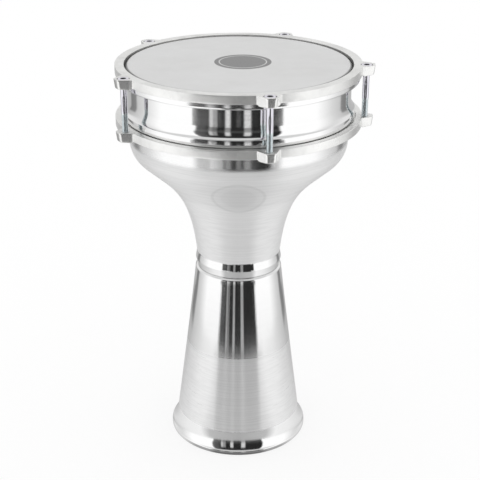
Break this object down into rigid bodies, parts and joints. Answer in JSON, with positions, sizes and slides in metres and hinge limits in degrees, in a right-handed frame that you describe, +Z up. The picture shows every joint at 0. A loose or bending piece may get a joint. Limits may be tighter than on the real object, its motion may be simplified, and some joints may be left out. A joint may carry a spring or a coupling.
{
  "type": "darbuka",
  "caption": "Metal goblet drum with a flat film head under a lugged tension ring, tuned by socket-head screws, standing on a flared hollow foot.",
  "frame": {"origin": "middle of the underside of the bounding box, on the floor that the drum stands on; the drum's own axis stands at x = -4.94 mm, y = 3.13 mm, because the five lugs reach unequally far to each side", "axes": "+Z up along the drum's axis, from foot to head; -Y is the front as pictured; +X to the right"},
  "size_m": [0.2398, 0.2394, 0.385],
  "materials": {
    "spun_metal": "spun sheet, mirror-polished collar, waist and foot, satin spin marks on the bowl",
    "cast_metal": "cast rings, polished sides and a satin top",
    "hoop_metal": "bright rolled channel",
    "screw_steel": "bright zinc-plated steel, faint blue tint in the threads",
    "head_film": "smooth grey-white polyester film, soft sheen",
    "resin": "cast resin inside the hoop"
  },
  "bodies": {
    "shell": {"bowl_shell": "spun_metal", "foot_shell": "spun_metal", "anchor_ring": "cast_metal", "drumhead_film": "head_film", "head_hoop": "hoop_metal", "head_resin": "resin"},
    "ring": {"tension_ring": "cast_metal", "screw_washer_1": "screw_steel", "screw_washer_2": "screw_steel", "screw_washer_3": "screw_steel", "screw_washer_4": "screw_steel", "screw_washer_5": "screw_steel"},
    "screw_1": {"tension_screw_1": "screw_steel"},
    "screw_2": {"tension_screw_2": "screw_steel"},
    "screw_3": {"tension_screw_3": "screw_steel"},
    "screw_4": {"tension_screw_4": "screw_steel"},
    "screw_5": {"tension_screw_5": "screw_steel"}
  },
  "joints": [
    {"name": "ring_lift", "type": "slide", "parent": "shell", "child": "ring", "axis": [0, 0, 1], "range_m": [0, 0.004]},
    {"name": "screw_turn_1", "type": "hinge", "parent": "ring", "child": "screw_1", "pos_m": [0.02103, -0.11116, 0.3536], "axis": [0, 0, 1], "range_deg": [0, 1440]},
    {"name": "screw_turn_2", "type": "hinge", "parent": "ring", "child": "screw_2", "pos_m": [0.11178, -0.00749, 0.3536], "axis": [0, 0, 1], "range_deg": [0, 1440]},
    {"name": "screw_turn_3", "type": "hinge", "parent": "ring", "child": "screw_3", "pos_m": [0.04123, 0.11085, 0.3536], "axis": [0, 0, 1], "range_deg": [0, 1440]},
    {"name": "screw_turn_4", "type": "hinge", "parent": "ring", "child": "screw_4", "pos_m": [-0.09312, 0.08033, 0.3536], "axis": [0, 0, 1], "range_deg": [0, 1440]},
    {"name": "screw_turn_5", "type": "hinge", "parent": "ring", "child": "screw_5", "pos_m": [-0.10561, -0.05688, 0.3536], "axis": [0, 0, 1], "range_deg": [0, 1440]}
  ],
  "couplings": [
    {"joint": "screw_turn_1", "follows": "ring_lift", "rad_per_m": 6283.2},
    {"joint": "screw_turn_2", "follows": "ring_lift", "rad_per_m": 6283.2},
    {"joint": "screw_turn_3", "follows": "ring_lift", "rad_per_m": 6283.2},
    {"joint": "screw_turn_4", "follows": "ring_lift", "rad_per_m": 6283.2},
    {"joint": "screw_turn_5", "follows": "ring_lift", "rad_per_m": 6283.2}
  ]
}
